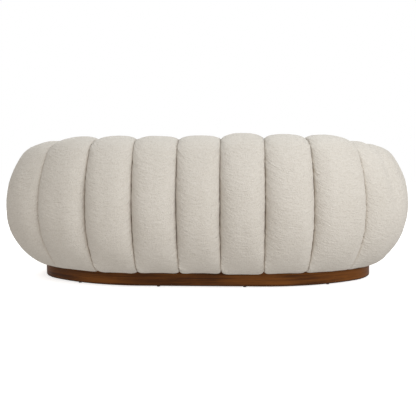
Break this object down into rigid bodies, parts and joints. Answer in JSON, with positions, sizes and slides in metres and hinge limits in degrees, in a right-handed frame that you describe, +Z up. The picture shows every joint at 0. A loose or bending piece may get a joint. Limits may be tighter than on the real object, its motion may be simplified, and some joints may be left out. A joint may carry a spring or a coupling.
{
  "type": "tuxedo sofa",
  "caption": "Oval sofa with padded vertical channels all round its back and arms, on a dark timber plinth, with a loose bench seat cushion.",
  "frame": {"origin": "on the floor, under the middle of the whole sofa", "axes": "+X along the sofa to the left of a person sitting in it, +Y towards the back, +Z up"},
  "size_m": [2.2, 1.0804, 0.745],
  "materials": {
    "channel_fabric": "cream looped wool-like upholstery cloth over foam",
    "cushion_fabric": "cream looped wool-like upholstery cloth over foam",
    "deck_cloth": "black non-woven deck cloth",
    "deck_pad": "needled fibre pad",
    "frame_timber": "planed softwood",
    "glide_plastic": "black nail-on glide",
    "lining_board": "thin bending plywood",
    "plinth_timber": "dark brown stained hardwood veneer, satin, grain along the plinth",
    "plywood": "sanded birch plywood",
    "spring_steel": "oiled spring steel wire",
    "zinc_steel": "zinc-plated steel",
    "zip_metal": "die-cast zip slider",
    "zip_tape": "woven zip tape with closed teeth"
  },
  "bodies": {
    "sofa": {"apron_channel_1": "channel_fabric", "apron_channel_2": "channel_fabric", "apron_channel_3": "channel_fabric", "apron_channel_4": "channel_fabric", "apron_channel_5": "channel_fabric", "apron_channel_6": "channel_fabric", "apron_channel_7": "channel_fabric", "arm_nose_left": "channel_fabric", "arm_nose_right": "channel_fabric", "base_panel": "plywood", "channel_arm_left_front": "channel_fabric", "channel_arm_left_rear": "channel_fabric", "channel_arm_right_front": "channel_fabric", "channel_arm_right_rear": "channel_fabric", "channel_back_centre": "channel_fabric", "channel_back_left_inner": "channel_fabric", "channel_back_left_outer": "channel_fabric", "channel_back_right_inner": "channel_fabric", "channel_back_right_outer": "channel_fabric", "channel_corner_left_inner": "channel_fabric", "channel_corner_left_outer": "channel_fabric", "channel_corner_right_inner": "channel_fabric", "channel_corner_right_outer": "channel_fabric", "deck_cloth": "deck_cloth", "deck_end_rail_left": "frame_timber", "deck_end_rail_right": "frame_timber", "deck_pad": "deck_pad", "front_lining": "lining_board", "front_rail": "frame_timber", "glides": "glide_plastic", "inside_lining_back": "lining_board", "inside_lining_left": "lining_board", "inside_lining_right": "lining_board", "outer_lining_back": "lining_board", "outer_lining_left": "lining_board", "outer_lining_right": "lining_board", "plinth_brace_centre": "frame_timber", "plinth_brace_left": "frame_timber", "plinth_brace_right": "frame_timber", "plinth_screws": "zinc_steel", "plinth_splices": "frame_timber", "plinth_wall_front": "plinth_timber", "plinth_wall_rear": "plinth_timber", "rear_rail": "frame_timber", "rib_brackets": "zinc_steel", "ribs_back": "plywood", "ribs_left": "plywood", "ribs_right": "plywood", "spring_clips": "zinc_steel", "tie_wires": "spring_steel", "top_rail_back": "plywood", "top_rail_left": "plywood", "top_rail_right": "plywood", "zigzag_springs": "spring_steel"},
    "cushion": {"seat_cushion": "cushion_fabric", "zip_tape": "zip_tape"},
    "zip_slider": {"zip_slider": "zip_metal"}
  },
  "joints": [
    {"name": "cushion_lift", "type": "slide", "parent": "sofa", "child": "cushion", "axis": [0, 0, 1], "range_m": [0, 0.35]},
    {"name": "zip_travel", "type": "slide", "parent": "cushion", "child": "zip_slider", "axis": [1, 0, 0], "range_m": [0, 0.398]}
  ]
}
